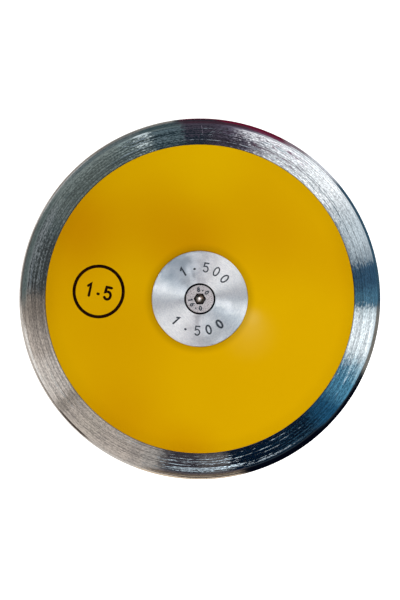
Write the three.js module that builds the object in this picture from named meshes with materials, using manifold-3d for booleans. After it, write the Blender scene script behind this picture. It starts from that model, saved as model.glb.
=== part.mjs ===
// A 1.5 kg throwing discus: a turned steel rim, two moulded side plates that drop into it from both
// sides, and a centre that clamps them: two hub plates, two countersunk screws and a barrel.
// Millimetres, +Z up along the spin axis, origin in the middle of the discus.
import * as THREE from "three";
import { mergeVertices } from "three/addons/utils/BufferGeometryUtils.js";
import Module from "manifold-3d";

const wasm = await Module();
wasm.setup();

// Whole discus
const rimRadius = 100.5; // outside radius of the metal rim
const hubThickness = 39; // over the two flat centres
const flatRadius = 26; // radius of the flat centre, which is the hub plate
const edgeRadius = 6; // round outer edge of the rim, a true circle in section

// Rim
const rimWidth = 15.4; // radial width of the metal that shows on each side
const webWidth = 8.6; // ring inside the rim that the side plates close on
const webThickness = 6;
const rimCornerChamfer = 0.3; // where the flank meets the side plate
const webChamfer = 0.8; // inner corners of the web
const keyCount = 4; // notches in the web, which stop the side plates turning
const keyWidth = 9;
const keyDepth = 3.4;

// Side plates
const plateWall = 3.6; // skin of the cone
const plateEdgeChamfer = 0.4;
const pocketWall = 4.2; // round the hub plate
const pocketFloor = 4; // under the hub plate
const spigotWall = 3; // ring that centres the plate in the web
const spigotGap = 0.6; // between the spigots of the two plates
const ribCount = 12;
const ribWidth = 2;
const ribFootStep = 0.8; // ribs start this far above the foot of the pocket
const ribDepthAtSpigot = 2.4;
const hoopRibWidth = 2; // ring rib that ties the radial ribs together
const hoopRibDepth = 4;

// Edge seals, flat rubber rings under the edges of the side plates
const sealThickness = 0.8;
const sealLand = 0.6; // between the notches and the seal

// Hub plates
const hubPlateThickness = 6;
const hubProud = 1.4; // stands above the side plate beside it
const hubEdgeChamfer = 0.3; // at the flat
const hubFootChamfer = 1; // inside the pocket

// Countersunk hexagon socket screws, M8 x 16
const screwRadius = 4;
const screwLength = 16; // head included
const headRadius = 7.7;
const headLand = 0.4; // short cylinder above the cone
const headSink = 0.15; // below the flat, so that nothing stands proud
const screwTipChamfer = 0.9;
const hexAcrossFlats = 5;
const hexDepth = 3;
const hexMouthChamfer = 0.15; // past the corners of the hexagon
const hexDrillRadius = 2.3;
const hexDrillDepth = 1.2; // cone that the drill leaves under the hexagon

// Barrel that both screws pull on
const barrelRadius = 12;
const barrelChamfer = 1;
const barrelMouthChamfer = 0.8;

// Weight washers, which bring the discus to its class, and the pads that stop them rattling
const washerWidth = 8.5;
const washerThickness = 3;
const padLeast = 2; // least height of each pad
const padInset = 0.7; // pads are cut smaller than the washers

// Clearances
const seatGap = 0.3; // between faces that are clamped together
const seamGap = 0.3; // side plate edge to rim, and spigot to web
const keyGap = 0.3; // key to notch, on each side
const hubFit = 0.15; // hub plate in its pocket
const slipFit = 0.3; // plates and washers on the barrel
const threadGap = 0.2; // plain shank in its hole, where a thread would be
const headGap = 0.55; // countersink round the screw head, at the flat
const coneGap = 0.3; // between the cones of the head and the countersink
const cutOverrun = 1; // cutters reach past the faces that they cut

// Faces of round pieces
const bigSegments = 64;
const hubSegments = 48;
const smallSegments = 36;
const edgeSteps = 10;

// The taper runs straight from the foot of the hub plate's step to where it is tangent to the round
// edge.
const halfThickness = hubThickness / 2;
const taperTop = halfThickness - hubProud;
const edgeCentre = rimRadius - edgeRadius;
const taperRun = edgeCentre - flatRadius;
const taperAngle =
  Math.acos(edgeRadius / Math.hypot(taperRun, taperTop)) - Math.atan2(taperRun, taperTop);
const tangentRadius = edgeCentre + edgeRadius * Math.sin(taperAngle);
const tangentHeight = edgeRadius * Math.cos(taperAngle);
const skinDrop = plateWall / Math.cos(taperAngle); // skin measured straight down

// Places shared by pieces that seat on each other
const seamRadius = rimRadius - rimWidth;
const webHalf = webThickness / 2;
const webBore = seamRadius - webWidth;
const sealTop = webHalf + seatGap + sealThickness;
const plateSeat = sealTop + seatGap;
const spigotRadius = webBore - seamGap;
const spigotBore = spigotRadius - spigotWall;
const spigotEnd = spigotGap / 2;
const pocketRadius = flatRadius + hubFit;
const pocketHeight = halfThickness - hubPlateThickness;
const pocketSeat = pocketHeight - seatGap;
const pocketOuter = pocketRadius + pocketWall;
const pocketFoot = pocketSeat - pocketFloor;
const barrelHole = barrelRadius + slipFit;
const barrelTop = pocketHeight - seatGap;
const screwHole = screwRadius + threadGap;
const headTop = halfThickness - headSink;
const headConeTop = headTop - headLand;

// Height of the outside of the discus over the taper.
function taperHeight(radius) {
  return tangentHeight + (tangentRadius - radius) * Math.tan(taperAngle);
}

// Height of the inside of a side plate's skin.
function skinHeight(radius) {
  return taperHeight(radius) - skinDrop;
}

// Points of an arc in the section, from one angle to another.
function arc(centreRadius, radius, from, to, steps) {
  return Array.from({ length: steps + 1 }, (_, i) => {
    const angle = from + ((to - from) * i) / steps;
    return [centreRadius + radius * Math.cos(angle), radius * Math.sin(angle)];
  });
}

// A solid of revolution about +Z from an anticlockwise outline of [radius, height] points.
function turned(outline, segments) {
  const points = outline.map(([radius, height]) => new THREE.Vector2(radius, height));
  return new THREE.LatheGeometry(points, segments).rotateX(Math.PI / 2);
}

// The same for a ring, whose outline closes on itself.
function turnedRing(outline, segments) {
  return turned([...outline, outline[0]], segments);
}

// A flat ring with square corners, as it is punched from sheet.
function sheetRing(inner, outer, low, high, segments) {
  return turnedRing(
    [
      [inner, low],
      [outer, low],
      [outer, high],
      [inner, high],
    ],
    segments,
  );
}

// A block that stands across a radius, from one radius to another.
function radialBlock(inner, outer, low, high, width, angle) {
  const block = new THREE.BoxGeometry(outer - inner, width, high - low);
  block.translate((inner + outer) / 2, 0, (low + high) / 2);
  return block.rotateZ(angle);
}

// Mesh geometry to a solid that can be joined and cut, and back.
function solid(geometry) {
  const bare = geometry.clone();
  bare.deleteAttribute("normal");
  bare.deleteAttribute("uv");
  const merged = mergeVertices(bare);
  return new wasm.Manifold(
    new wasm.Mesh({
      numProp: 3,
      vertProperties: merged.attributes.position.array,
      triVerts: new Uint32Array(merged.index.array),
    }),
  );
}

function geometryOf(manifold) {
  const { vertProperties, triVerts } = manifold.getMesh();
  const geometry = new THREE.BufferGeometry();
  geometry.setAttribute("position", new THREE.BufferAttribute(vertProperties, 3));
  geometry.setIndex(new THREE.BufferAttribute(triVerts, 1));
  geometry.computeVertexNormals();
  return geometry;
}

function turnAngles(count) {
  return Array.from({ length: count }, (_, i) => (i * 2 * Math.PI) / count);
}

// Rim: round edge, straight flanks, and a web between two rebates for the side plates.
function rimGeometry() {
  const edgeSpan = Math.PI / 2 - taperAngle;
  const flankTop = taperHeight(seamRadius);
  const flankCorner = seamRadius + rimCornerChamfer;
  const upperHalf = [
    [flankCorner, taperHeight(flankCorner)],
    [seamRadius, flankTop - rimCornerChamfer],
    [seamRadius, webHalf],
    [webBore + webChamfer, webHalf],
    [webBore, webHalf - webChamfer],
  ];
  const lowerHalf = upperHalf.map(([radius, height]) => [radius, -height]).reverse();
  const edge = arc(edgeCentre, edgeRadius, -edgeSpan, edgeSpan, edgeSteps);
  let rim = solid(turnedRing([...edge, ...upperHalf, ...lowerHalf], bigSegments));
  for (const angle of turnAngles(keyCount)) {
    const notch = radialBlock(
      webBore - cutOverrun,
      webBore + keyDepth,
      -webHalf - cutOverrun,
      webHalf + cutOverrun,
      keyWidth,
      angle,
    );
    rim = rim.subtract(solid(notch));
  }
  return geometryOf(rim);
}

// One radial rib: deep at the pocket, shallow at the spigot, and sunk half a skin into the plate.
function radialRib(angle) {
  const inner = pocketOuter - pocketWall / 2;
  const outer = spigotBore + spigotWall / 2;
  const outline = new THREE.Shape([
    new THREE.Vector2(inner, pocketFoot + ribFootStep),
    new THREE.Vector2(outer, skinHeight(outer) - ribDepthAtSpigot),
    new THREE.Vector2(outer, skinHeight(outer) + skinDrop / 2),
    new THREE.Vector2(inner, skinHeight(inner) + skinDrop / 2),
  ]);
  const rib = new THREE.ExtrudeGeometry(outline, { depth: ribWidth, bevelEnabled: false });
  rib.translate(0, 0, -ribWidth / 2);
  return rib.rotateX(Math.PI / 2).rotateZ(angle);
}

// Ring rib half way between the pocket and the spigot.
function hoopRib() {
  const middle = (pocketOuter + spigotBore) / 2;
  const inner = middle - hoopRibWidth / 2;
  const outer = middle + hoopRibWidth / 2;
  return turnedRing(
    [
      [inner, skinHeight(middle) - hoopRibDepth],
      [outer, skinHeight(middle) - hoopRibDepth],
      [outer, skinHeight(outer) + skinDrop / 2],
      [inner, skinHeight(inner) + skinDrop / 2],
    ],
    bigSegments,
  );
}

// Key under the plate's edge, which drops into a notch of the web.
function plateKey(angle) {
  return radialBlock(
    spigotRadius - spigotWall / 2,
    webBore + keyDepth - keyGap,
    spigotEnd,
    plateSeat + plateEdgeChamfer,
    keyWidth - 2 * keyGap,
    angle,
  );
}

// Side plate for the upper side: a cone skin with a pocket for the hub plate, a spigot, keys and ribs.
function sidePlateGeometry() {
  const edge = seamRadius - seamGap;
  const edgeShoulder = edge - plateEdgeChamfer;
  const pocketShoulder = pocketRadius + plateEdgeChamfer;
  const shell = turnedRing(
    [
      [barrelHole, pocketFoot],
      [pocketOuter, pocketFoot],
      [pocketOuter, skinHeight(pocketOuter)],
      [spigotBore, skinHeight(spigotBore)],
      [spigotBore, spigotEnd],
      [spigotRadius, spigotEnd],
      [spigotRadius, plateSeat],
      [edge, plateSeat],
      [edge, taperHeight(edge) - plateEdgeChamfer],
      [edgeShoulder, taperHeight(edgeShoulder)],
      [pocketShoulder, taperHeight(pocketShoulder)],
      [pocketRadius, taperHeight(pocketRadius) - plateEdgeChamfer],
      [pocketRadius, pocketSeat],
      [barrelHole, pocketSeat],
    ],
    bigSegments,
  );
  let plate = solid(shell).add(solid(hoopRib()));
  for (const angle of turnAngles(ribCount)) plate = plate.add(solid(radialRib(angle)));
  for (const angle of turnAngles(keyCount)) plate = plate.add(solid(plateKey(angle)));
  return geometryOf(plate);
}

// Flat rubber ring in the corner of the rebate, outside the notches.
function edgeSealGeometry() {
  const inner = webBore + keyDepth + sealLand;
  return sheetRing(inner, seamRadius - seamGap, webHalf + seatGap, sealTop, bigSegments);
}

// Hub plate: a turned disc with a stepped 90 degree countersink for the screw head.
function hubPlateGeometry() {
  const mouth = headRadius + headGap;
  const coneReach = coneGap * Math.SQRT2;
  const coneMouth = headConeTop + mouth - headRadius - coneReach;
  return turnedRing(
    [
      [screwHole, pocketHeight],
      [flatRadius - hubFootChamfer, pocketHeight],
      [flatRadius, pocketHeight + hubFootChamfer],
      [flatRadius, halfThickness - hubEdgeChamfer],
      [flatRadius - hubEdgeChamfer, halfThickness],
      [mouth, halfThickness],
      [mouth, coneMouth],
      [screwHole, coneMouth - (mouth - screwHole)],
    ],
    hubSegments,
  );
}

// Screw: plain shank, 90 degree cone, flat head, and a hexagon socket with its drill point.
function screwGeometry() {
  const top = headTop;
  const coneFoot = headConeTop - (headRadius - screwRadius);
  const tip = top - screwLength;
  const blank = turned(
    [
      [0, tip],
      [screwRadius - screwTipChamfer, tip],
      [screwRadius, tip + screwTipChamfer],
      [screwRadius, coneFoot],
      [headRadius, headConeTop],
      [headRadius, top],
      [0, top],
    ],
    smallSegments,
  );
  const hexRadius = hexAcrossFlats / Math.sqrt(3);
  const hexFoot = top - hexDepth;
  const hexagon = new THREE.CylinderGeometry(hexRadius, hexRadius, hexDepth + cutOverrun, 6);
  hexagon.rotateY(Math.PI / 6).rotateX(Math.PI / 2);
  hexagon.translate(0, 0, hexFoot + (hexDepth + cutOverrun) / 2);
  const drill = turned(
    [
      [0, hexFoot - hexDrillDepth],
      [hexDrillRadius, hexFoot],
      [hexDrillRadius, top],
      [0, top],
    ],
    smallSegments,
  );
  const mouthRadius = hexRadius + hexMouthChamfer;
  const mouth = turned(
    [
      [0, top - mouthRadius],
      [mouthRadius + cutOverrun, top + cutOverrun],
      [0, top + cutOverrun],
    ],
    smallSegments,
  );
  return geometryOf(solid(blank).subtract(solid(hexagon)).subtract(solid(drill)).subtract(solid(mouth)));
}

// Barrel between the hub plates, with a hole right through for the two screws.
function barrelGeometry() {
  return turnedRing(
    [
      [screwHole + barrelMouthChamfer, -barrelTop],
      [barrelRadius - barrelChamfer, -barrelTop],
      [barrelRadius, barrelChamfer - barrelTop],
      [barrelRadius, barrelTop - barrelChamfer],
      [barrelRadius - barrelChamfer, barrelTop],
      [screwHole + barrelMouthChamfer, barrelTop],
      [screwHole, barrelTop - barrelMouthChamfer],
      [screwHole, barrelMouthChamfer - barrelTop],
    ],
    smallSegments,
  );
}

const steel = new THREE.MeshStandardMaterial({ color: 0x8d9498, roughness: 0.3, metalness: 1 });
const yellowPlastic = new THREE.MeshStandardMaterial({ color: 0xd6a000, roughness: 0.25 });
const aluminium = new THREE.MeshStandardMaterial({ color: 0xc8ccd4, roughness: 0.3, metalness: 1 });
const stainless = new THREE.MeshStandardMaterial({ color: 0xc4bfbd, roughness: 0.25, metalness: 1 });
const darkSteel = new THREE.MeshStandardMaterial({ color: 0x5c5f63, roughness: 0.45, metalness: 1 });
const rubber = new THREE.MeshStandardMaterial({ color: 0x1a1a1a, roughness: 0.85 });

const discus = new THREE.Group();

function addPiece(name, geometry, material, group = discus) {
  const mesh = new THREE.Mesh(geometry, material);
  mesh.name = name;
  group.add(mesh);
}

// The lower side is the upper side turned over.
function addSide(side, group) {
  addPiece(`side_plate_${side}`, sidePlateGeometry(), yellowPlastic, group);
  addPiece(`edge_seal_${side}`, edgeSealGeometry(), rubber, group);
  addPiece(`hub_plate_${side}`, hubPlateGeometry(), aluminium, group);
  addPiece(`hub_screw_${side}`, screwGeometry(), stainless, group);
  discus.add(group);
}

// As many washers as fit between the pocket floors, with a rubber pad above and below.
function addWeights() {
  const inner = barrelHole;
  const outer = inner + washerWidth;
  const pitch = washerThickness + seatGap;
  const count = Math.floor((2 * (pocketFoot - padLeast - seatGap) - seatGap) / pitch);
  const stackHalf = (count * pitch - seatGap) / 2;
  for (let i = 0; i < count; i++) {
    const low = i * pitch - stackHalf;
    const ring = sheetRing(inner, outer, low, low + washerThickness, smallSegments);
    addPiece(`weight_washer_${i + 1}`, ring, darkSteel);
  }
  const low = stackHalf + seatGap;
  const high = pocketFoot - seatGap;
  const padRing = () => sheetRing(inner + padInset, outer - padInset, low, high, smallSegments);
  addPiece("pad_washer_upper", padRing(), rubber);
  addPiece("pad_washer_lower", padRing().rotateX(Math.PI), rubber);
}

const lowerSide = new THREE.Group();
lowerSide.rotation.x = Math.PI;
addPiece("rim", rimGeometry(), steel);
addSide("upper", new THREE.Group());
addSide("lower", lowerSide);
addPiece("core_barrel", barrelGeometry(), darkSteel);
addWeights();

export default discus;
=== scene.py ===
"""Looks of a 1.5 kg throwing discus: plated steel rim, yellow moulded side plates, turned hub plates.

Metres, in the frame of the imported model: +Z along the spin axis, origin in the middle of the discus.
"""

from math import acos, atan2, cos, hypot, pi, radians, sin, sqrt, tan

import bmesh
import bpy
from mathutils import Matrix, Vector


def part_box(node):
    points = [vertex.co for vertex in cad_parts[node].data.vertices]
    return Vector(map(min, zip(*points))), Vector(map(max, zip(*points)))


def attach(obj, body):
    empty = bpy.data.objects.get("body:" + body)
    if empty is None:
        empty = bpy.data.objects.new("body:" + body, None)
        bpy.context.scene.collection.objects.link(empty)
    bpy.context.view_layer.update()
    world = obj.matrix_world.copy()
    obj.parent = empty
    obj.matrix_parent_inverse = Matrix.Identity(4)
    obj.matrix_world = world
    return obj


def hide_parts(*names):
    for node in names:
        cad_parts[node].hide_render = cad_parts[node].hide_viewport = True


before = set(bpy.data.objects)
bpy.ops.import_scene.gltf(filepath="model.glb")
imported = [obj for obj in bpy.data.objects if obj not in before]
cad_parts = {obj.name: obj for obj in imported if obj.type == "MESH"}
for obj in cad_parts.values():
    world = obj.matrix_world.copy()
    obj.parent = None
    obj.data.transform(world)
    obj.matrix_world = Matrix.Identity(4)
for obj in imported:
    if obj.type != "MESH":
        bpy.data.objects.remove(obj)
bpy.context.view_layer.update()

MM = 0.001

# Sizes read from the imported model
rim_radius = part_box("rim")[1].x
half_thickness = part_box("hub_plate_upper")[1].z
flat_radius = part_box("hub_plate_upper")[1].x
pocket_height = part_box("hub_plate_upper")[0].z
head_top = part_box("hub_screw_upper")[1].z
head_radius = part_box("hub_screw_upper")[1].x
screw_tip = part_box("hub_screw_upper")[0].z
spigot_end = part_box("side_plate_upper")[0].z
seal_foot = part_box("edge_seal_upper")[0].z
seal_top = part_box("edge_seal_upper")[1].z
barrel_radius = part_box("core_barrel")[1].x

# Sizes that the box of a node doesn't give
edge_radius = 6 * MM
rim_width = 15.4 * MM
hub_proud = 1.4 * MM
seat_gap = 0.3 * MM
web_width = 8.6 * MM
web_chamfer = 0.8 * MM
spigot_gap = 0.3 * MM
key_count = 4
key_width = 9 * MM
key_depth = 3.4 * MM
key_gap = 0.3 * MM
plate_wall = 3.6 * MM
pocket_wall = 4.2 * MM
pocket_floor = 4 * MM
spigot_wall = 3 * MM
rib_count = 12
rib_width = 2 * MM
rib_foot_step = 0.8 * MM
rib_depth_at_spigot = 2.4 * MM
hoop_rib_width = 2 * MM
hoop_rib_depth = 4 * MM
slip_fit = 0.3 * MM
screw_radius = 4 * MM
screw_hole = 4.2 * MM
head_land = 0.4 * MM
head_gap = 0.75 * MM
cone_gap = 0.3 * MM
screw_tip_chamfer = 0.9 * MM
hex_across_flats = 5 * MM
hex_depth = 3 * MM
hex_mouth_chamfer = 0.5 * MM
hollow_radius = 2.3 * MM
hollow_depth = 0.9 * MM
hub_foot_chamfer = 1 * MM
overrun = 1 * MM

# Closer fits and finer edges than the solids have
seam_line = 0.06 * MM
hub_line = 0.06 * MM
rim_corner_round = 0.05 * MM
plate_edge_round = 0.2 * MM
hub_edge_round = 0.35 * MM
mouth_round = 0.1 * MM
head_edge_round = 0.3 * MM
flank_crown = 0.05 * MM
# How far from a rounded corner the points lie that keep the flats beside it flat
flat_hold = 0.08 * MM
# Points that lie closer together are one point
merge_distance = 0.0001 * MM

# Faces round the axis, and steps along an arc or along the rim's flank
big_segments = 384
hub_segments = 256
small_segments = 144
hex_sides = 6
edge_steps = 48
flank_steps = 8
corner_steps = 6
mouth_steps = 3
hollow_steps = 12

# The taper, as on the solids
taper_top = half_thickness - hub_proud
edge_centre = rim_radius - edge_radius
taper_run = edge_centre - flat_radius
taper_angle = acos(edge_radius / hypot(taper_run, taper_top)) - atan2(taper_run, taper_top)
tangent_radius = edge_centre + edge_radius * sin(taper_angle)
tangent_height = edge_radius * cos(taper_angle)
skin_drop = plate_wall / cos(taper_angle)

seam_radius = rim_radius - rim_width
plate_edge = seam_radius - seam_line
web_half = seal_foot - seat_gap
web_bore = seam_radius - web_width
plate_seat = seal_top + seat_gap
spigot_radius = web_bore - spigot_gap
spigot_bore = spigot_radius - spigot_wall
pocket_radius = flat_radius + hub_line
pocket_seat = pocket_height - seat_gap
pocket_outer = pocket_radius + pocket_wall
pocket_foot = pocket_seat - pocket_floor
barrel_hole = barrel_radius + slip_fit
head_cone_top = head_top - head_land
hex_radius = hex_across_flats / sqrt(3)


def taper_height(radius):
    """Height of the outside over the taper."""
    return tangent_height + (tangent_radius - radius) * tan(taper_angle)


def skin_height(radius):
    """Height of the inside of a side plate's skin."""
    return taper_height(radius) - skin_drop


def arc(centre, radii, start, end, steps=32):
    """Points of a round or oval arc, angles in radians."""
    angles = [start + (end - start) * i / steps for i in range(steps + 1)]
    return [(centre[0] + radii[0] * cos(a), centre[1] + radii[1] * sin(a)) for a in angles]


def oval(centre, radii, steps=32):
    """Points of a whole circle or oval."""
    return arc(centre, radii, 0, 2 * pi, steps)[:-1]


def turns(count):
    """Angles that go evenly round the axis."""
    return [2 * pi * i / count for i in range(count)]


def direction(degrees):
    """Straight away from the axis, at an azimuth."""
    turn = radians(degrees)
    return Vector((cos(turn), sin(turn), 0))


def rounded(before, corner, after, radius, steps=corner_steps):
    """A rounded corner of an outline, with a point on each side that keeps the flats flat."""
    corner = Vector(corner)
    one = (Vector(before) - corner).normalized()
    two = (Vector(after) - corner).normalized()
    half = one.angle(two) / 2
    reach = radius / tan(half)
    centre = corner + (one + two).normalized() * radius / sin(half)
    start = corner + one * reach - centre
    sweep = start.angle_signed(corner + two * reach - centre)
    bend = [centre + Matrix.Rotation(-sweep * i / steps, 2) @ start for i in range(steps + 1)]
    hold = reach + flat_hold
    return [tuple(point) for point in (corner + one * hold, *bend, corner + two * hold)]


def add_object(name, data):
    """An object in the scene."""
    piece = bpy.data.objects.new(name, data)
    bpy.context.scene.collection.objects.link(piece)
    return piece


def object_from(name, build):
    """An object from a bmesh, with its faces pointing out."""
    bmesh.ops.recalc_face_normals(build, faces=build.faces)
    mesh = bpy.data.meshes.new(name)
    build.to_mesh(mesh)
    build.free()
    return add_object(name, mesh)


def lathe(name, outline, segments, closed=True):
    """Turns an outline of (radius, height) points about Z."""
    build = bmesh.new()
    rings = []
    for radius, height in outline:
        if radius == 0:
            rings.append([build.verts.new((0, 0, height))] * segments)
            continue
        circle = [(radius * cos(turn), radius * sin(turn), height) for turn in turns(segments)]
        rings.append([build.verts.new(point) for point in circle])
    pairs = list(zip(rings, rings[1:]))
    if closed:
        pairs.append((rings[-1], rings[0]))
    for low, high in pairs:
        for i in range(segments):
            j = (i + 1) % segments
            corners = list(dict.fromkeys((low[i], low[j], high[j], high[i])))
            if len(corners) > 2:
                build.faces.new(corners)
    return object_from(name, build)


def radial_block(name, inner, outer, low, high, width, angle):
    """A block that stands across a radius."""
    build = bmesh.new()
    bmesh.ops.create_cube(build, size=1)
    middle = Matrix.Translation(((inner + outer) / 2, 0, (low + high) / 2))
    shape = Matrix.Diagonal((outer - inner, width, high - low, 1))
    bmesh.ops.transform(build, matrix=Matrix.Rotation(angle, 4, "Z") @ middle @ shape, verts=build.verts)
    return object_from(name, build)


def join(pieces):
    """One object from several."""
    with bpy.context.temp_override(
        active_object=pieces[0], selected_objects=pieces, selected_editable_objects=pieces
    ):
        bpy.ops.object.join()
    return pieces[0]


def combine(piece, tool, operation, overlapping=False):
    """Joins or cuts a piece with a tool, which is used up, and may be made of overlapping parts."""
    modifier = piece.modifiers.new("combine", "BOOLEAN")
    modifier.operation = operation
    modifier.solver = "EXACT"
    modifier.material_mode = "TRANSFER"
    modifier.use_self = overlapping
    modifier.object = tool
    bpy.context.view_layer.update()
    result = bpy.data.meshes.new_from_object(piece.evaluated_get(bpy.context.evaluated_depsgraph_get()))
    piece.modifiers.clear()
    piece.data = result
    bpy.data.objects.remove(tool)


def finish_edges(piece, sharp_degrees=28):
    """Smooth faces, with an edge where two meet at more than the given angle."""
    build = bmesh.new()
    build.from_mesh(piece.data)
    bmesh.ops.remove_doubles(build, verts=build.verts, dist=merge_distance)
    for face in build.faces:
        face.smooth = True
    for edge in build.edges:
        edge.smooth = edge.calc_face_angle(0) < radians(sharp_degrees)
    build.to_mesh(piece.data)
    build.free()


def paint(piece, material):
    """One material on every face."""
    piece.data.materials.clear()
    piece.data.materials.append(material)


def turned_over(piece, name):
    """The same piece for the other side."""
    mesh = piece.data.copy()
    mesh.transform(Matrix.Rotation(pi, 4, "X"))
    return add_object(name, mesh)


# Strokes of the numerals, which are one high about their middle: each a path, and whether it is closed
numeral_strokes = {
    "0": [(oval((0, 0), (0.27, 0.5), steps=40), True)],
    "1": [([(-0.16, 0.3), (0.05, 0.5), (0.05, -0.5)], False)],
    "5": [
        (
            [(0.24, 0.5), (-0.19, 0.5), (-0.22, 0.08)]
            + arc((0, -0.18), (0.27, 0.32), radians(105), radians(-145), steps=24),
            False,
        )
    ],
    "6": [
        (oval((0, -0.2), (0.27, 0.3)), True),
        ([(0.15, 0.5), (-0.1, 0.22), (-0.26, -0.12)], False),
    ],
    "8": [
        (oval((0, 0.26), (0.21, 0.24)), True),
        (oval((0, -0.24), (0.27, 0.26)), True),
    ],
    ".": [([(-0.04, -0.2), (0.04, -0.2)], False)],
}
# Steps round a stroke's end, and the cosine that limits how far the corners of a bend reach
cap_steps = 8
least_cosine = 0.5


def stroke_sides(points, closed, width):
    """The two sides of a bar along a flat path."""
    count = len(points)
    lefts, rights = [], []
    for i, point in enumerate(points):
        ahead = points[(i + 1) % count] - point if closed or i + 1 < count else point - points[i - 1]
        behind = point - points[i - 1] if closed or i > 0 else ahead
        along = (ahead.normalized() + behind.normalized()).normalized()
        reach = width / 2 / max(along.dot(ahead.normalized()), least_cosine)
        side = Vector((-along.y, along.x)) * reach
        lefts.append(point + side)
        rights.append(point - side)
    return lefts, rights


def stroke(build, path, closed, width, levels):
    """Adds a bar along a flat path between two levels, with round ends unless the path is closed."""
    points = [Vector(point) for point in path]
    lefts, rights = stroke_sides(points, closed, width)
    count = len(points)
    flat = lefts + rights
    cells = [(i, i + 1, count + i + 1, count + i) for i in range(count - 1)]
    if closed:
        cells.append((count - 1, 0, count, 2 * count - 1))
        loops = [list(range(count)), list(range(count, 2 * count))]
    else:
        caps = []
        for end, spin in ((count - 1, -1), (0, 1)):
            cap = []
            for i in range(1, cap_steps):
                turned = Matrix.Rotation(spin * pi * i / cap_steps, 2) @ (lefts[end] - points[end])
                cap.append(len(flat))
                flat.append(points[end] + turned)
            cells.append((end, *cap, count + end))
            caps.append(cap)
        rights_back = list(range(2 * count - 1, count - 1, -1))
        loops = [list(range(count)) + caps[0] + rights_back + caps[1][::-1]]
    lows = [build.verts.new((*p, levels(p)[0])) for p in flat]
    highs = [build.verts.new((*p, levels(p)[1])) for p in flat]
    for cell in cells:
        build.faces.new([highs[i] for i in cell])
        build.faces.new([lows[i] for i in reversed(cell)])
    for loop in loops:
        for i, j in zip(loop, loop[1:] + loop[:1]):
            build.faces.new((lows[i], lows[j], highs[j], highs[i]))


def numeral(build, character, centre, up, height, width, levels):
    """Adds one numeral, standing along a direction."""
    tall = height - width
    across = Vector((up.y, -up.x))
    for path, closed in numeral_strokes[character]:
        placed = [centre + across * x * tall + up * y * tall for x, y in path]
        stroke(build, placed, closed, width, levels)


def rim_flank(start, end):
    """Points along the rim's flank, which stands out a little in the middle."""
    start = Vector(start)
    run = Vector(end) - start
    outward = Vector((sin(taper_angle), cos(taper_angle)))
    shares = [i / flank_steps for i in range(1, flank_steps)]
    return [tuple(start + run * share + outward * flank_crown * 4 * share * (1 - share)) for share in shares]


def key_notch(angle):
    """What is cut out of the web for one key."""
    deep = web_half + overrun
    return radial_block("notch", web_bore - overrun, web_bore + key_depth, -deep, deep, key_width, angle)


def make_rim(material):
    """The rim: round edge, two flanks, a rebate on each side and the web between them."""
    span = pi / 2 - taper_angle
    tangent = (tangent_radius, tangent_height)
    corner = (seam_radius, taper_height(seam_radius))
    corner_points = rounded(tangent, corner, (seam_radius, web_half), rim_corner_round)
    upper = [
        *rim_flank(tangent, corner_points[0]),
        *corner_points,
        (seam_radius, web_half),
        (web_bore + web_chamfer, web_half),
        (web_bore, web_half - web_chamfer),
    ]
    lower = [(radius, -height) for radius, height in reversed(upper)]
    edge = arc((edge_centre, 0), (edge_radius, edge_radius), -span, span, edge_steps)
    rim = lathe("rim_turned", edge + upper + lower, big_segments)
    combine(rim, join([key_notch(turn) for turn in turns(key_count)]), "DIFFERENCE")
    finish_edges(rim)
    paint(rim, material)
    return rim


def in_skin(radius):
    """A point half way through the skin of a side plate."""
    return (radius, skin_height(radius) + skin_drop / 2)


def rib(angle):
    """A rib under the skin, from the wall of the pocket to the spigot."""
    inner = pocket_outer - pocket_wall / 2
    outer = spigot_bore + spigot_wall / 2
    outline = [
        (inner, pocket_foot + rib_foot_step),
        (outer, skin_height(outer) - rib_depth_at_spigot),
        in_skin(outer),
        in_skin(inner),
    ]
    build = bmesh.new()
    near, far = [
        [build.verts.new((radius, y, height)) for radius, height in outline]
        for y in (-rib_width / 2, rib_width / 2)
    ]
    build.faces.new(near)
    build.faces.new(reversed(far))
    for i in range(len(outline)):
        j = (i + 1) % len(outline)
        build.faces.new((near[j], near[i], far[i], far[j]))
    bmesh.ops.rotate(build, matrix=Matrix.Rotation(angle, 3, "Z"), verts=build.verts)
    return object_from("rib", build)


def hoop_rib():
    """The rib that crosses the others, half way along them."""
    middle = (pocket_outer + spigot_bore) / 2
    inner = middle - hoop_rib_width / 2
    outer = middle + hoop_rib_width / 2
    foot = skin_height(middle) - hoop_rib_depth
    return lathe("hoop", [(inner, foot), (outer, foot), in_skin(outer), in_skin(inner)], big_segments)


def plate_key(angle):
    """A key on the spigot, which enters a notch of the web."""
    inner = spigot_radius - spigot_wall / 2
    outer = web_bore + key_depth - key_gap
    top = plate_seat + plate_edge_round
    return radial_block("key", inner, outer, spigot_end, top, key_width - 2 * key_gap, angle)


def make_side_plate(material):
    """A side plate: skin, pocket for the hub plate, spigot, ribs and keys."""
    edge_corner = (plate_edge, taper_height(plate_edge))
    pocket_corner = (pocket_radius, taper_height(pocket_radius))
    edge = rounded((plate_edge, plate_seat), edge_corner, pocket_corner, plate_edge_round)
    lip = rounded(edge_corner, pocket_corner, (pocket_radius, pocket_seat), plate_edge_round)
    outline = [
        (barrel_hole, pocket_foot),
        (pocket_outer, pocket_foot),
        (pocket_outer, skin_height(pocket_outer)),
        (spigot_bore, skin_height(spigot_bore)),
        (spigot_bore, spigot_end),
        (spigot_radius, spigot_end),
        (spigot_radius, plate_seat),
        (plate_edge, plate_seat),
        *edge,
        *lip,
        (pocket_radius, pocket_seat),
        (barrel_hole, pocket_seat),
    ]
    plate = lathe("side_plate_upper_moulded", outline, big_segments)
    combine(plate, hoop_rib(), "UNION")
    for part, count in ((rib, rib_count), (plate_key, key_count)):
        combine(plate, join([part(turn) for turn in turns(count)]), "UNION")
    finish_edges(plate)
    paint(plate, material)
    return plate


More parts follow.
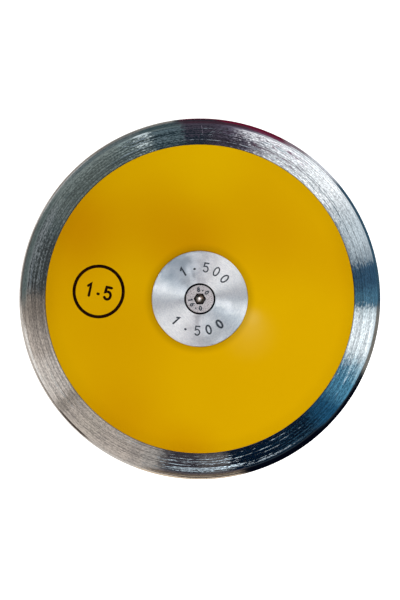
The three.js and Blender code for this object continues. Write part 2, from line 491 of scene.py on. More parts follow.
def make_hub_plate(material):
    """A hub plate with its countersink, before anything is stamped."""
    mouth = head_radius + head_gap
    cone_mouth = head_cone_top + mouth - head_radius - cone_gap * sqrt(2)
    top_corner = (flat_radius, half_thickness)
    mouth_corner = (mouth, half_thickness)
    outline = [
        (screw_hole, pocket_height),
        (flat_radius - hub_foot_chamfer, pocket_height),
        (flat_radius, pocket_height + hub_foot_chamfer),
        *rounded((flat_radius, pocket_height), top_corner, mouth_corner, hub_edge_round),
        *rounded(top_corner, mouth_corner, (mouth, cone_mouth), mouth_round, mouth_steps),
        (mouth, cone_mouth),
        (screw_hole, cone_mouth - (mouth - screw_hole)),
    ]
    plate = lathe("hub_plate_upper_turned", outline, hub_segments)
    paint(plate, material)
    return plate


# Stamped rows: 1 if the numerals stand outward and -1 if inward, then each numeral, its azimuth in
# degrees and how heavily it was struck. The hub plate has the class of the discus, its mass in
# kilograms, and the screws their diameter and length in millimetres.
hub_rows = (
    (1, (("1", 121.6, 1.2), (".", 100, 1.3), ("5", 79, 0.85), ("0", 58.6, 0.85), ("0", 39, 0.9))),
    (-1, (("1", 222, 1.15), (".", 244.6, 1.3), ("5", 265.5, 0.85), ("0", 286, 1.1), ("0", 308, 1.3))),
)
hub_marks = {"radius": 17.3 * MM, "height": 5.5 * MM, "width": 0.85 * MM, "depth": 0.35 * MM}
screw_rows = (
    (1, (("8", 98, 1), (".", 70, 1.2), ("0", 42, 1))),
    (-1, (("1", 186, 1), ("6", 216, 1), (".", 246, 1.2), ("0", 274, 1))),
)
screw_marks = {"radius": 5.1 * MM, "height": 2.75 * MM, "width": 0.66 * MM, "depth": 0.2 * MM}


def stamp(piece, face, groove_shade, rows, radius, height, width, depth):
    """Stamps rows of numerals round the axis into the upper face of a piece."""
    build = bmesh.new()

    def levels(_):
        return face - depth, face + overrun

    for outward, marks in rows:
        for character, degrees, weight in marks:
            away = direction(degrees).xy
            numeral(build, character, away * radius, away * outward, height, width * weight, levels)
    marks = object_from("marks", build)
    # The cut faces of the grooves take the painted shade
    paint(marks, groove_shade)
    combine(piece, marks, "DIFFERENCE", overlapping=True)


# Printed ring with the class of the discus in it, on the upper side plate
print_centre_radius = 55.5 * MM
print_centre_degrees = 175.8
print_ring_radius = 13.85 * MM
print_line = 1.75 * MM
print_tilt_degrees = -12
print_numerals = "1.5"
print_numeral_height = 8 * MM
print_numeral_width = 1.45 * MM
print_numeral_pitch = 5.2 * MM
print_film = 0.03 * MM


def make_print(material):
    """The printed ring and its numerals, a thin film that follows the taper."""
    away = direction(print_centre_degrees).xy
    centre = away * print_centre_radius
    up = Vector((0, 1))
    up.rotate(Matrix.Rotation(radians(print_tilt_degrees), 2))
    across = Vector((up.y, -up.x))

    def laid(point):
        """A point of the circle as seen from above, once the circle lies on the taper."""
        point = Vector(point)
        return point - away * (point - centre).dot(away) * (1 - cos(taper_angle))

    def levels(point):
        height = taper_height(point.length)
        return height - print_film, height + print_film

    build = bmesh.new()
    circle = oval(centre, (print_ring_radius, print_ring_radius), small_segments)
    stroke(build, [laid(point) for point in circle], True, print_line, levels)
    middle = (len(print_numerals) - 1) / 2
    for i, character in enumerate(print_numerals):
        place = centre + across * print_numeral_pitch * (i - middle)
        numeral(build, character, place, up, print_numeral_height, print_numeral_width, levels)
    ring = object_from("printed_ring", build)
    finish_edges(ring)
    paint(ring, material)
    return ring


def make_screw(material, groove_shade):
    """A countersunk screw with its socket and its stamped sizes."""
    head_corner = (head_radius, head_top)
    outline = [
        (0, screw_tip),
        (screw_radius - screw_tip_chamfer, screw_tip),
        (screw_radius, screw_tip + screw_tip_chamfer),
        (screw_radius, head_cone_top - (head_radius - screw_radius)),
        (head_radius, head_cone_top),
        *rounded((head_radius, head_cone_top), head_corner, (0, head_top), head_edge_round),
        (0, head_top),
    ]
    screw = lathe("hub_screw_upper_turned", outline, small_segments, closed=False)
    hex_foot = head_top - hex_depth
    above = head_top + overrun
    mouth_radius = hex_radius + hex_mouth_chamfer + overrun
    hexagon = [
        (0, hex_foot),
        (hex_radius, hex_foot),
        (hex_radius, head_top - hex_mouth_chamfer),
        (mouth_radius, above),
        (0, above),
    ]
    combine(screw, lathe("hexagon", hexagon, hex_sides, closed=False), "DIFFERENCE")
    hollow = arc((0, hex_foot), (hollow_radius, hollow_depth), -pi / 2, 0, hollow_steps)
    hollow = [(0, hex_foot - hollow_depth), *hollow[1:], (hollow_radius, head_top), (0, head_top)]
    combine(screw, lathe("hollow", hollow, small_segments, closed=False), "DIFFERENCE")
    paint(screw, material)
    stamp(screw, head_top, groove_shade, screw_rows, **screw_marks)
    finish_edges(screw)
    return screw


# Where nearly all of a noise lies, and where its middle lies
noise_range = (0.3, 0.7)
noise_middle = (0.35, 0.65)


class Nodes:
    """Short calls for building a node tree."""

    def __init__(self, tree):
        self.tree = tree
        self.tree.nodes.clear()

    def add(self, kind, settings=None, inputs=None):
        node = self.tree.nodes.new(kind)
        for key, value in (settings or {}).items():
            setattr(node, key, value)
        for key, value in (inputs or {}).items():
            self.put(node, key, value)
        return node

    def put(self, node, key, value):
        """Sets an input, or links it where the value comes from another node."""
        socket = node.inputs[key]
        if isinstance(value, bpy.types.NodeSocket):
            self.tree.links.new(value, socket)
        else:
            socket.default_value = value

    def math(self, operation, value, *others):
        """One operation on a value and each of the others in turn."""
        for other in others or [0.0]:
            node = self.add("ShaderNodeMath", {"operation": operation}, {0: value, 1: other})
            value = node.outputs[0]
        return value

    def plus(self, *values):
        return self.math("ADD", *values)

    def minus(self, *values):
        return self.math("SUBTRACT", *values)

    def times(self, *values):
        return self.math("MULTIPLY", *values)

    def blend(self, one, two, shares):
        """Two values added up by their shares."""
        return self.plus(self.times(one, shares[0]), self.times(two, shares[1]))

    def vector_math(self, operation, *values):
        node = self.add("ShaderNodeVectorMath", {"operation": operation}, dict(enumerate(values)))
        return node.outputs["Value"] if operation in ("LENGTH", "DOT_PRODUCT") else node.outputs[0]

    def spread(self, value, low, high, to_low=0.0, to_high=1.0, smooth=False):
        """Maps a value from one range to another, clamped."""
        kind = "SMOOTHSTEP" if smooth else "LINEAR"
        inputs = dict(enumerate((value, low, high, to_low, to_high)))
        return self.add("ShaderNodeMapRange", {"interpolation_type": kind}, inputs).outputs[0]

    def vary(self, noise, low=0.0, high=1.0):
        """Maps a noise to a range."""
        return self.spread(noise, *noise_range, low, high)

    def step_down(self, value, edge, blur):
        """One below an edge and nothing above it, with a narrow blur."""
        return self.spread(value, edge - blur, edge + blur, 1.0, 0.0)

    def vector(self, x, y, z):
        return self.add("ShaderNodeCombineXYZ", None, {0: x, 1: y, 2: z}).outputs[0]

    def split(self, vector):
        return self.add("ShaderNodeSeparateXYZ", None, {0: vector}).outputs

    def place(self):
        return self.add("ShaderNodeTexCoord").outputs["Object"]

    def plan(self):
        """Place as seen along the axis."""
        x, y, _ = self.split(self.place())
        return self.vector(x, y, 0.0)

    def noise(self, vector, scale=1.0, detail=2.0, roughness=0.5):
        inputs = {"Vector": vector, "Scale": scale, "Detail": detail, "Roughness": roughness}
        return self.add("ShaderNodeTexNoise", None, inputs).outputs["Fac"]

    def mix(self, factor, one, two):
        return self.add("ShaderNodeMix", {"data_type": "RGBA"}, {0: factor, 6: one, 7: two}).outputs[2]

    def bump(self, height, distance, **normal):
        inputs = {"Height": height, "Distance": distance, **normal}
        return self.add("ShaderNodeBump", None, inputs).outputs[0]

    def away(self):
        """Direction straight away from the axis."""
        return self.vector_math("NORMALIZE", self.plan())

    def radius(self):
        """Distance from the axis."""
        return self.vector_math("LENGTH", self.plan())

    def height(self):
        """Distance from the middle plane, on either side of it."""
        return self.math("ABSOLUTE", self.split(self.place())[2])

    def ring_place(self, around, across):
        """Coordinates for marks round the axis: how many in a radius along it and in a metre across."""
        unit_x, unit_y, _ = self.split(self.away())
        outward = self.minus(self.radius(), self.height())
        return self.vector(
            self.times(unit_x, around), self.times(unit_y, around), self.times(outward, across)
        )

    def wobble(self, noise, size):
        """A noise turned into a slope to either side."""
        return self.times(self.minus(noise, 0.5), size)

    def tipped_normal(self, outward, along):
        """The normal, tipped away from the axis and round it by the given slopes."""
        away = self.away()
        round_axis = self.vector_math("CROSS_PRODUCT", (0, 0, 1), away)
        normal = self.add("ShaderNodeNewGeometry").outputs["Normal"]
        normal = self.vector_math("ADD", normal, self.vector_math("MULTIPLY", away, outward))
        normal = self.vector_math("ADD", normal, self.vector_math("MULTIPLY", round_axis, along))
        return self.vector_math("NORMALIZE", normal)

    def spot(self, degrees, radius, size):
        """One at a place on a face, fading to nothing at the given distance from it."""
        offset = self.vector_math("SUBTRACT", self.plan(), direction(degrees) * radius)
        return self.spread(self.vector_math("LENGTH", offset), 0.0, size, 1.0, 0.0, smooth=True)

    def arc_patch(self, start, end, inner, outer):
        """One over a part of a ring, from and to azimuth in degrees, fading at its edges."""
        half = radians((end - start) / 2)
        facing = self.vector_math("DOT_PRODUCT", self.away(), direction((start + end) / 2))
        across = self.spread(facing, cos(half), cos(half / 2), smooth=True)
        edge = (outer - inner) / 4
        begun = self.spread(self.radius(), inner, inner + edge, smooth=True)
        ended = self.spread(self.radius(), outer - edge, outer, 1.0, 0.0, smooth=True)
        return self.times(across, begun, ended)

    def scratch(self, degrees, inner, outer, slant, width):
        """One along a straight scratch that crosses the marks of the lathe, on the upper side."""
        place = self.place()
        ahead = self.vector_math("DOT_PRODUCT", place, direction(degrees))
        aside = self.vector_math("DOT_PRODUCT", place, direction(degrees + 90))
        drift = self.spread(ahead, inner, outer, -slant / 2, slant / 2)
        near = self.spread(self.math("ABSOLUTE", self.minus(aside, drift)), width / 4, width / 2, 1.0, 0.0)
        started = self.spread(ahead, inner, inner + width)
        ended = self.spread(ahead, outer - width, outer, 1.0, 0.0)
        upper = self.math("GREATER_THAN", self.split(place)[2], 0.0)
        return self.times(near, upper, started, ended)


def new_material(name, **settings):
    """A material with one principled shader, and its settings that are the same all over."""
    material = bpy.data.materials.new(name)
    material.use_nodes = True
    nodes = Nodes(material.node_tree)
    shader = nodes.add("ShaderNodeBsdfPrincipled")
    nodes.add("ShaderNodeOutputMaterial", None, {"Surface": shader.outputs[0]})
    for key, value in settings.items():
        shader.inputs[key.replace("_", " ").title().replace("Ior", "IOR")].default_value = value
    return material, nodes, shader


def turned_metal(name, anisotropy):
    """A metal that was finished in a lathe, so that its gloss is spread across the marks."""
    material, nodes, shader = new_material(
        name, metallic=1.0, anisotropic=anisotropy, anisotropic_rotation=0.25
    )
    tangent = nodes.add("ShaderNodeTangent", {"direction_type": "RADIAL", "axis": "Z"})
    nodes.put(shader, "Tangent", tangent.outputs[0])
    return material, nodes, shader


# Marks that run round the rim: how many of each a radius holds along it and a metre across it, detail
# of the noise, slope away from the axis, the part of the noise that tells and its share of the tone
rim_marks = {
    "specks": ((72.0, 1700.0), 1.0, 0.12, (0.32, 0.66), 0.43),
    "dashes": ((22.0, 2400.0), 1.0, 0.04, (0.32, 0.66), 0.17),
    "lines": ((1.7, 1550.0), 2.0, 0.17, (0.36, 0.62), 0.4),
}
# How the marks sway along the rim, in the same terms
rim_sway = (40.0, 1200.0)
sway_slope = 0.03
# Nicks, made of dashes and lines: shares of the two, where they begin and are full, and their slope
nick_shares = (0.3, 0.7)
nick_range = (0.615, 0.685)
nick_slope = -0.13
# Where the rim is worn most: from and to azimuth in degrees, from and to radius, and how much
rim_worn = [
    (250, 288, 86 * MM, 97 * MM, 0.9),
    (262, 328, 88.5 * MM, 92.5 * MM, 0.3),
    (252, 308, 90.5 * MM, 97.5 * MM, 1.35),
    (54, 94, 84 * MM, 97 * MM, 0.7),
    (104, 118, 91 * MM, 97 * MM, 1.35),
    (126, 186, 86 * MM, 95 * MM, 0.7),
]
# What full wear adds to the level
wear_strength = 0.07
# Where dark streaks between the bright lines carry painted reflections of blue and purple, in the same
# terms, and their tint
rim_reflection_tints = [
    (20, 64, 84 * MM, 93 * MM, 0.6, (0.06, 0.13, 0.17)),
    (48, 86, 84 * MM, 98 * MM, 0.8, (0.2, 0.09, 0.14)),
]
streak_shares = (0.7, 0.3)
streak_range = (0.46, 0.4)
# Scratches across them: azimuth in degrees, inner and outer end, how far they lean and their width
rim_scratches = [
    (89.2, 90.5 * MM, 96.5 * MM, 1 * MM, 0.5 * MM),
    (12.0, 94.5 * MM, 97 * MM, 0.6 * MM, 0.4 * MM),
]
scratch_slope = 0.05
seam_dirt_reach = 0.5 * MM
seam_dirt_share = 0.85


def rim_nicks(nodes, dashes, lines):
    """One in the nicks of the plating, which lie closer where the rim is worn."""
    level = nodes.blend(dashes, lines, nick_shares)
    for start, end, inner, outer, amount in rim_worn:
        wear_and_shade = nodes.arc_patch(start, end, inner, outer)
        level = nodes.plus(level, nodes.times(wear_and_shade, amount * wear_strength))
    return nodes.spread(level, *nick_range)


def rim_lean(nodes):
    """Slope along the rim, from the sway of its marks and from the scratches across them."""
    lean = nodes.wobble(nodes.noise(nodes.ring_place(*rim_sway), detail=1.0), sway_slope)
    for scratch in rim_scratches:
        lean = nodes.minus(lean, nodes.times(nodes.scratch(*scratch), scratch_slope))
    return lean


def rim_colour(nodes, tone, nicks, dashes, lines):
    """Colour of the rim with its nicks, its dark streaks tinted with painted reflections of blue and purple,
    and the dirt in the seam.
    """
    colour = nodes.mix(tone, (0.34, 0.35, 0.37, 1), (0.96, 0.97, 0.98, 1))
    colour = nodes.mix(nicks, colour, (0.37, 0.45, 0.5, 1))
    streaks = nodes.spread(nodes.blend(dashes, lines, streak_shares), *streak_range)
    # Painted reflection: blue and purple tints on the dark streaks
    for start, end, inner, outer, amount, tint in rim_reflection_tints:
        tinted = nodes.times(nodes.arc_patch(start, end, inner, outer), amount)
        colour = nodes.mix(nodes.times(streaks, tinted), colour, (*tint, 1))
    dirt_and_shade = nodes.spread(nodes.radius(), seam_radius, seam_radius + seam_dirt_reach, seam_dirt_share, 0.0)
    return nodes.mix(dirt_and_shade, colour, (0.03, 0.04, 0.05, 1))


def plated_steel():
    """Rim: turned, plated and rubbed, with specks, dashes and long lines that run round it."""
    material, nodes, shader = turned_metal("plated_steel", 0.8)
    noises = {}
    slope = 0.0
    tone = 0.0
    for name, (cells, detail, mark_slope, (low, high), tone_share) in rim_marks.items():
        noises[name] = nodes.noise(nodes.ring_place(*cells), detail=detail)
        slope = nodes.plus(slope, nodes.wobble(noises[name], mark_slope))
        tone = nodes.plus(tone, nodes.spread(noises[name], low, high, 0.0, tone_share))
    dashes, lines = noises["dashes"], noises["lines"]
    nicks = rim_nicks(nodes, dashes, lines)
    slope = nodes.plus(slope, nodes.times(nicks, nick_slope))
    nodes.put(shader, "Normal", nodes.tipped_normal(slope, rim_lean(nodes)))
    nodes.put(shader, "Base Color", rim_colour(nodes, tone, nicks, dashes, lines))
    nodes.put(shader, "Roughness", nodes.spread(nicks, 0.0, 1.0, 0.06, 0.1))
    return material


# Painted light and shade on the moulded plastic, for how the studio light falls on it: azimuth in degrees,
# radius, reach and how much darker
plastic_light_and_shade = [
    (97, 30 * MM, 34 * MM, 0.85),
    (122, 48 * MM, 36 * MM, 0.6),
    (150, 78 * MM, 42 * MM, 1.0),
    (45, 50 * MM, 44 * MM, 0.5),
    (238, 84 * MM, 46 * MM, 0.7),
    (205, 50 * MM, 46 * MM, 0.35),
    (178, 88 * MM, 30 * MM, 0.4),
    (264, 90 * MM, 30 * MM, 0.9),
    (14, 84 * MM, 32 * MM, 0.4),
    (86, 86 * MM, 40 * MM, -0.38),
    (112, 86 * MM, 26 * MM, -0.1),
    (135, 86 * MM, 20 * MM, -0.15),
    (28, 62 * MM, 30 * MM, 0.2),
]
# Painted highlights, a soft gleam beside the hub: azimuth in degrees, radius, reach and how much
plastic_highlights = [
    (341, 30.5 * MM, 6.5 * MM, 0.28),
    (334, 31 * MM, 11.5 * MM, 0.15),
    (326, 32.5 * MM, 20 * MM, 0.11),
]
# Reach of the painted shade at both edges, and how much there is at most
shade_beside_hub = 5 * MM
shade_beside_rim = 9 * MM
hub_shade_share = 0.35
rim_shade_share = 0.12
# Where the edge beside the rim gets no painted shade: azimuth in degrees, radius and reach
unshaded_edge = (90, 85 * MM, 120 * MM)
plastic_grain_depth = 0.01 * MM


def plastic_colour(nodes):
    """Yellow that varies at random, with painted light and shade in places and a painted highlight beside
    the hub.
    """
    cloud = nodes.noise(nodes.place(), scale=14.0)
    clear = nodes.vary(cloud, 0.8, 0.67)
    # Painted light and shade, spot by spot, over the random tone of the cloud
    for degrees, radius, reach, amount in plastic_light_and_shade:
        shade = nodes.times(nodes.spot(degrees, radius, reach), amount)
        clear = nodes.times(clear, nodes.minus(1.0, shade))
    colour = nodes.mix(clear, (0.57, 0.248, 0.0, 1), (0.733, 0.41, 0.0, 1))
    # Painted highlight beside the hub, a paler yellow broken up by the cloud
    for degrees, radius, reach, amount in plastic_highlights:
        highlight = nodes.times(nodes.spot(degrees, radius, reach), amount, nodes.vary(cloud, 0.6, 1.0))
        colour = nodes.mix(highlight, colour, (0.78, 0.54, 0.14, 1))
    return colour


def yellow_plastic():
    """Side plates: glossy moulded plastic, slightly uneven in tone, with painted shade at both edges."""
    material, nodes, shader = new_material("yellow_plastic", ior=1.5, specular_tint=(1, 0.8, 0.0, 1))
    radius = nodes.radius()
    hub_side, rim_side = flat_radius + shade_beside_hub, plate_edge - shade_beside_rim
    # Painted shade next to the hub plate, whose step shades the plastic, and along the rim except at the top
    beside_hub = nodes.spread(radius, flat_radius, hub_side, hub_shade_share, 0.0, smooth=True)
    beside_rim = nodes.spread(radius, rim_side, plate_edge, 0.0, rim_shade_share, smooth=True)
    shaded_along_rim = nodes.minus(1.0, nodes.spot(*unshaded_edge))
    painted_shade = nodes.plus(beside_hub, nodes.times(beside_rim, shaded_along_rim))
    nodes.put(shader, "Base Color", nodes.mix(painted_shade, plastic_colour(nodes), (0.2, 0.08, 0.0, 1)))
    skin = nodes.noise(nodes.place(), scale=900.0)
    nodes.put(shader, "Normal", nodes.bump(skin, plastic_grain_depth))
    nodes.put(shader, "Roughness", nodes.vary(skin, 0.36, 0.44))
    return material


# Rings and blots on the hub plate: how many a radius holds along them and a metre across, and depth
hub_rings = (9.0, 1700.0)
hub_ring_depth = 0.01 * MM
hub_blots = (3.0, 180.0)
hub_blot_depth = 0.05 * MM
# A stain on the hub plate: azimuth in degrees, radius and reach
hub_stain = (122, 22 * MM, 16 * MM)
# Painted shade in the countersink round the screw: how far out from the head it reaches, how far below the
# face it begins, and how soft its edge is
hub_gap_shade_reach = 1.1 * MM
hub_gap_shade_depth = 0.15 * MM
shade_blur = 0.1 * MM


def turned_aluminium():
    """Hub plates: faced in a lathe, so that light gathers in sectors, with painted shade in the countersink
    round the screw.
    """
    material, nodes, shader = turned_metal("turned_aluminium", 1.0)
    rings = nodes.noise(nodes.ring_place(*hub_rings), detail=3.0, roughness=0.7)
    grain = nodes.noise(nodes.place(), scale=1500.0, roughness=0.6)
    blots = nodes.noise(nodes.ring_place(*hub_blots), detail=3.0, roughness=0.6)
    relief = nodes.bump(blots, hub_blot_depth)
    nodes.put(shader, "Normal", nodes.bump(rings, hub_ring_depth, Normal=relief))
    tone = nodes.times(nodes.plus(nodes.spread(rings, *noise_middle), nodes.vary(grain)), 0.5)
    unshaded = nodes.mix(tone, (0.7, 0.72, 0.76, 1), (1.0, 1.0, 1.0, 1))
    stain = nodes.times(nodes.spot(*hub_stain), nodes.vary(blots, 0.5, 1.0))
    unshaded = nodes.mix(stain, unshaded, (0.5, 0.56, 0.63, 1))
    # Painted shade: near black on the walls of the countersink
    sunk = nodes.step_down(nodes.height(), half_thickness - hub_gap_shade_depth, shade_blur)
    near = nodes.step_down(nodes.radius(), head_radius + hub_gap_shade_reach, shade_blur)
    dirt_and_shade = nodes.times(sunk, near)
    nodes.put(shader, "Base Color", nodes.mix(dirt_and_shade, unshaded, (0.02, 0.02, 0.025, 1)))
    nodes.put(shader, "Roughness", nodes.spread(blots, *noise_middle, 0.3, 0.4))
    return material


screw_grain_depth = 0.006 * MM
# Painted shade in the socket: how far below the head's top it begins, and the radii between which the floor
# gives way to near black walls
socket_shade_top = 0.05 * MM
socket_floor_radius = 2.15 * MM
socket_wall_shade_radius = 2.45 * MM
# Painted highlight in the middle of the socket's floor
highlight_radius = 0.5 * MM
highlight_end = 1.5 * MM


def stainless():
    """Screws: pressed stainless steel, with painted shade in the socket and on its mouth, and a painted
    highlight in the middle of its floor.
    """
    material, nodes, shader = new_material("stainless", metallic=1.0)
    grain = nodes.noise(nodes.place(), scale=2600.0, detail=3.0, roughness=0.6)
    nodes.put(shader, "Normal", nodes.bump(grain, screw_grain_depth))
    unshaded = nodes.mix(nodes.vary(grain), (0.37, 0.345, 0.345, 1), (0.49, 0.455, 0.455, 1))
    # Painted highlight, brighter metal in the middle of the floor
    socket_highlight = nodes.spread(nodes.radius(), highlight_radius, highlight_end, 1.0, 0.0, smooth=True)
    # Painted shade: a darker floor of the socket and near black walls
    wear_and_shade = nodes.mix(nodes.spread(grain, *noise_middle), (0.1, 0.07, 0.055, 1), (0.5, 0.4, 0.34, 1))
    wall_shade = nodes.spread(nodes.radius(), socket_floor_radius, socket_wall_shade_radius)
    socket = nodes.mix(wall_shade, nodes.mix(socket_highlight, wear_and_shade, (0.9, 0.8, 0.75, 1)), (0.012, 0.01, 0.01, 1))
    deep = nodes.step_down(nodes.height(), head_top - socket_shade_top, shade_blur / 2)
    nodes.put(shader, "Base Color", nodes.mix(deep, unshaded, socket))
    nodes.put(shader, "Roughness", nodes.vary(grain, 0.24, 0.34))
    return material


def mottled(name, pattern, shades, dark, light, roughness, depth=0.0, **settings):
    """A material that follows one noise: its scale, detail and roughness, and where it is dark and light."""
    material, nodes, shader = new_material(name, **settings)
    noise = nodes.noise(nodes.place(), *pattern)
    nodes.put(shader, "Base Color", nodes.mix(nodes.spread(noise, *shades), (*dark, 1), (*light, 1)))
    nodes.put(shader, "Roughness", nodes.vary(noise, *roughness))
    if depth:
        nodes.put(shader, "Normal", nodes.bump(noise, depth))
    return material


def painted_groove_shade():
    """Painted shade in the grooves of the stamped numerals, dark blue-grey."""
    dark, light = (0.012, 0.018, 0.028), (0.05, 0.06, 0.08)
    return mottled("painted_groove_shade", (900.0, 3.0, 0.6), (0.35, 0.7), dark, light, (0.4, 0.7))


def print_ink():
    """Black ink of the printed ring, a little thin in places."""
    dark, light = (0.003, 0.0, 0.0), (0.02, 0.008, 0.002)
    gloss = {"ior": 1.35, "specular_tint": (0.6, 0.2, 0.15, 1)}
    return mottled("print_ink", (700.0, 3.0, 0.6), (0.45, 0.8), dark, light, (0.35, 0.5), **gloss)


hidden_grain_depth = 0.02 * MM


def core_steel():
    """Barrel and weights, which the side plates hide."""
    dark, light = (0.16, 0.16, 0.17), (0.34, 0.34, 0.36)
    return mottled(
        "core_steel", (260.0, 4.0, 0.6), noise_range, dark, light, (0.35, 0.6), hidden_grain_depth,
        metallic=1.0,
    )


def seal_rubber():
    """Seals and pads."""
    dark, light = (0.012, 0.012, 0.013), (0.03, 0.03, 0.032)
    return mottled(
        "seal_rubber", (400.0, 3.0, 0.5), noise_range, dark, light, (0.65, 0.85), hidden_grain_depth
    )


def seat(piece, node=None):
    """Puts a piece in the model, in place of a node if one is given."""
    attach(piece, "root")
    if node:
        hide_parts(node)


def build_discus():
    """Every piece of the discus that shows."""
    seat(make_rim(plated_steel()), "rim")
    plate = make_side_plate(yellow_plastic())
    seat(turned_over(plate, "side_plate_lower_moulded"), "side_plate_lower")
    seat(plate, "side_plate_upper")
    seat(make_print(print_ink()))
    hub = make_hub_plate(turned_aluminium())
    bare_hub = turned_over(hub, "hub_plate_lower_turned")
    groove_shade = painted_groove_shade()
    stamp(hub, half_thickness, groove_shade, hub_rows, **hub_marks)
    finish_edges(hub)
    finish_edges(bare_hub)
    seat(bare_hub, "hub_plate_lower")
    seat(hub, "hub_plate_upper")
    screw = make_screw(stainless(), groove_shade)
    seat(turned_over(screw, "hub_screw_lower_turned"), "hub_screw_lower")
    seat(screw, "hub_screw_upper")


def dress_hidden_nodes():
    """Better materials for the solids that stay as they are, inside the discus."""
    core, rubber = core_steel(), seal_rubber()
    for name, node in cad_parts.items():
        for holder in node.material_slots:
            if name.startswith(("core_barrel", "weight_washer")):
                holder.material = core
            elif name.startswith(("pad_washer", "edge_seal")):
                holder.material = rubber


# The floor reaches this far each way from the axis
floor_reach = 8


def make_floor():
    """Pale paper that the discus lies on."""
    build = bmesh.new()
    bmesh.ops.create_grid(build, x_segments=1, y_segments=1, size=floor_reach)
    floor = object_from("floor", build)
    floor.location.z = -half_thickness
    material, _, _ = new_material(
        "floor_paper", base_color=(0.6, 0.6, 0.6, 1), roughness=0.9, emission_color=(1, 1, 1, 1),
        emission_strength=0.92,
    )
    floor.data.materials.append(material)
    floor.visible_glossy = False


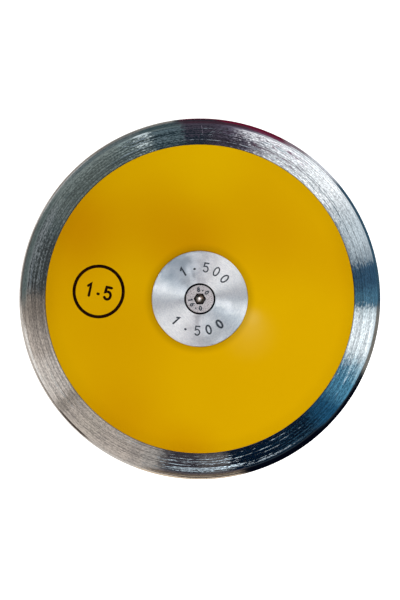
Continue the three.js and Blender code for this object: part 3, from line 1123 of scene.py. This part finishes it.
# Soft boxes and cards of the studio, each a patch of the sky that surrounds the discus:
# from and to azimuth, from and to angle below straight up, colour, softness of its ends and of its
# upper and lower sides, all angles in degrees. Later ones lie over earlier ones.
studio_cards = [
    # Lower left, a warm wall with a bright board, seen between dark posts
    (171, 182, 18, 96, (0.095, 0.09, 0.095), 4, 5),
    (177, 262, 18, 96, (0.27, 0.23, 0.195), 6, 5),
    (190, 262, 18, 96, (0.53, 0.46, 0.4), 14, 5),
    (201, 214, 18, 96, (0.70, 0.63, 0.565), 6, 5),
    (216, 219, 18, 96, (0.36, 0.315, 0.27), 2, 5),
    (225, 232, 18, 96, (0.56, 0.49, 0.42), 5, 5),
    (246, 248.5, 18, 96, (0.42, 0.37, 0.33), 2, 5),
    (250, 260, 18, 96, (0.42, 0.385, 0.35), 3, 5),
    # Bottom, dark
    (257, 271, 18, 46, (0.055, 0.05, 0.06), 7, 4),
    (270, 280, 18, 46, (0.13, 0.12, 0.12), 3, 4),
    (280, 318, 18, 46, (0.001, 0.009, 0.025), 4, 4),
    (300, 320, 29, 36, (0.02, 0.06, 0.1), 12, 5),
    (315, 340, 18, 68, (0.015, 0.09, 0.18), 10, 5),
    (324, 340, 18, 68, (0.07, 0.24, 0.38), 8, 5),
    (326, 340, 28, 68, (0.1, 0.31, 0.46), 8, 4),
    (333, 341, 28, 68, (0.35, 0.58, 0.7), 6, 4),
    # Right, the brightest box, then a blue gap
    (338.5, 357.5, 18, 78, (0.79, 0.92, 0.97), 8, 6),
    (343, 352, 18, 66, (1.15, 1.25, 1.28), 9, 6),
    (357.5, 373, 18, 92, (0.075, 0.19, 0.28), 2, 5),
    (364, 373, 18, 92, (0.035, 0.09, 0.155), 6, 5),
    # Upper right, a wide box that fades into a dark gap at the top, over a red curtain
    (372.5, 400, 18, 92, (0.30, 0.37, 0.42), 3, 5),
    (379, 402, 18, 92, (0.64, 0.73, 0.78), 14, 5),
    (392, 440, 18, 92, (0.90, 0.95, 0.98), 14, 5),
    (398, 411, 18, 92, (1.12, 1.16, 1.18), 8, 5),
    (68, 104, 18, 92, (0.14, 0.12, 0.17), 14, 5),
    (52, 74, 29, 46, (1.12, 1.14, 1.18), 12, 4),
    (75, 104, 18, 28, (0.055, 0.055, 0.075), 8, 4),
    (82, 104, 18, 92, (0.06, 0.05, 0.07), 8, 5),
    (87, 104, 18, 28, (0.015, 0.03, 0.045), 6, 4),
    # Left, a dim green wall that gets lighter towards its foot, with a strip of light on its right
    (96, 173, 18, 96, (0.10, 0.135, 0.135), 1.5, 5),
    (124, 150, 18, 96, (0.135, 0.165, 0.155), 12, 5),
    (104, 176, 29, 96, (0.185, 0.22, 0.21), 8, 5),
    (146, 180, 36, 96, (0.12, 0.15, 0.145), 10, 8),
    (150, 174, 28.5, 35, (0.215, 0.235, 0.245), 14, 4),
    (158, 178, 18, 27.5, (0.07, 0.08, 0.08), 8, 4),
    (96, 107, 18, 28, (0.025, 0.05, 0.065), 2, 4),
    (96, 107, 28, 40, (0.1, 0.145, 0.165), 2, 4),
    (111, 118, 29.5, 60, (0.25, 0.31, 0.31), 3, 4),
    (107.5, 112, 29, 50, (0.7, 0.8, 0.82), 1.5, 3),
    # What only the round edge reflects, near the horizon and below it
    (98, 180, 92, 118, (0.17, 0.175, 0.17), 4, 8),
    (128, 150, 94, 118, (0.42, 0.42, 0.41), 10, 8),
    (98, 136, 50, 88, (0.115, 0.145, 0.15), 8, 10),
    (96, 110, 50, 98, (0.06, 0.092, 0.1), 5, 10),
    (98, 180, 118, 181, (0.28, 0.26, 0.23), 4, 10),
    (120, 155, 118, 181, (0.28, 0.24, 0.2), 6, 10),
    (148, 185, 122, 181, (0.6, 0.55, 0.5), 12, 8),
    (156, 184, 92, 118, (0.12, 0.115, 0.105), 4, 8),
    (182, 262, 92, 181, (0.62, 0.56, 0.5), 5, 6),
    (190, 208, 70, 98, (0.84, 0.79, 0.73), 8, 6),
    (206, 232, 100, 122, (0.24, 0.2, 0.165), 12, 6),
    (219, 230, 92, 126, (0.06, 0.045, 0.035), 5, 6),
    (256, 284, 46, 66, (0.09, 0.075, 0.08), 8, 8),
    (253, 285, 62, 102, (0.17, 0.125, 0.09), 8, 8),
    (252, 284, 84, 90, (0.5, 0.42, 0.34), 8, 4),
    (250, 286, 112, 181, (0.66, 0.52, 0.38), 6, 8),
    (284, 314, 60, 181, (0.001, 0.002, 0.006), 6, 12),
    (310, 331, 88, 181, (0.001, 0.002, 0.006), 6, 12),
    (326, 336, 106, 181, (0.001, 0.002, 0.006), 4, 10),
    (336, 358, 80, 181, (0.21, 0.2, 0.175), 4, 6),
    (358, 405, 90, 181, (0.035, 0.085, 0.13), 10, 8),
    (402, 416, 92, 181, (0.62, 0.64, 0.68), 8, 6),
    (414, 424, 92, 181, (0.26, 0.2, 0.23), 6, 6),
    (60, 76, 66, 98, (0.15, 0.03, 0.07), 8, 14),
    (74, 96, 62, 98, (0.06, 0.03, 0.045), 8, 14),
    (62, 96, 98, 181, (0.15, 0.008, 0.03), 3, 10),
    (84, 96, 92, 130, (0.03, 0.025, 0.035), 6, 8),
    # Overhead, a soft box with dark bars and bright ones beside it
    (-181, 181, -20, 18, (1.42, 1.42, 1.46), 4, 4),
    (98, 114, 3, 18, (0.85, 0.92, 1.02), 8, 4),
    (119, 148, 1.5, 18, (0.05, 0.1, 0.18), 8, 4),
    (234, 250, 3, 18, (0.95, 0.95, 0.97), 8, 4),
    (306, 324, 3, 18, (0.85, 0.97, 1.12), 8, 4),
    (-1, 24, 1.5, 18, (0.1, 0.15, 0.24), 8, 4),
    (175, 197, 1.5, 18, (0.04, 0.07, 0.15), 8, 4),
    (274, 304, 3, 13, (6.0, 6.1, 6.3), 8, 3),
    (330, 353, 4, 18, (6.2, 6.1, 6.1), 8, 4),
    (156, 170, 4, 18, (0.1, 0.1, 0.14), 8, 4),
]
# The studio gets lighter towards the floor, between these two angles below straight up
glow_degrees = (23, 33)
glow_shares = (0.8, 1.2)


def make_world():
    """The studio that the metal reflects, which the camera itself sees as white."""
    world = bpy.data.worlds.new("studio")
    bpy.context.scene.world = world
    world.use_nodes = True
    nodes = Nodes(world.node_tree)
    x, y, z = nodes.split(nodes.add("ShaderNodeTexCoord").outputs["Generated"])
    heading = nodes.vector_math("NORMALIZE", nodes.vector(x, y, 0.0))
    fall = nodes.math("ARCCOSINE", z)
    sky = (0.02, 0.03, 0.04, 1)
    for start, end, top, foot, colour, soft, fade in studio_cards:
        facing = nodes.vector_math("DOT_PRODUCT", heading, direction((start + end) / 2))
        half, side_blur = radians((end - start) / 2), radians(soft / 2)
        wide, narrow = cos(min(half + side_blur, pi)), cos(max(half - side_blur, 0))
        across = nodes.spread(facing, wide, narrow, smooth=True)
        top, foot, blur = radians(top), radians(foot), radians(fade / 2)
        below_top = nodes.spread(fall, top - blur, top + blur, smooth=True)
        above_foot = nodes.spread(fall, foot - blur, foot + blur, 1.0, 0.0, smooth=True)
        sky = nodes.mix(nodes.times(across, below_top, above_foot), sky, (*colour, 1))
    glow = nodes.spread(fall, *map(radians, glow_degrees), *glow_shares)
    seen_directly = nodes.add("ShaderNodeLightPath").outputs["Is Camera Ray"]
    sky = nodes.mix(seen_directly, nodes.vector_math("MULTIPLY", sky, glow), (1, 1, 1, 1))
    background = nodes.add("ShaderNodeBackground", None, {"Color": sky})
    nodes.add("ShaderNodeOutputWorld", None, {"Surface": background.outputs[0]})


def make_lights():
    """A round lamp overhead, which no metal reflects."""
    light = bpy.data.lights.new("overhead", "AREA")
    light.shape = "DISK"
    light.size = 1.2
    light.energy = 12.2
    lamp = add_object("overhead", light)
    lamp.location = (0.25, -0.35, 1.35)
    lamp.visible_glossy = False


def make_camera():
    """The camera of the photo, straight above."""
    data = bpy.data.cameras.new("camera")
    data.sensor_width = 36
    data.lens = 75.4
    data.clip_start = 0.01
    camera = add_object("camera", data)
    camera.location = (0.0001, -0.0006, 0.7)
    bpy.context.scene.camera = camera


build_discus()
dress_hidden_nodes()
make_floor()
make_world()
make_lights()
make_camera()
bpy.context.scene.view_settings.view_transform = "Standard"
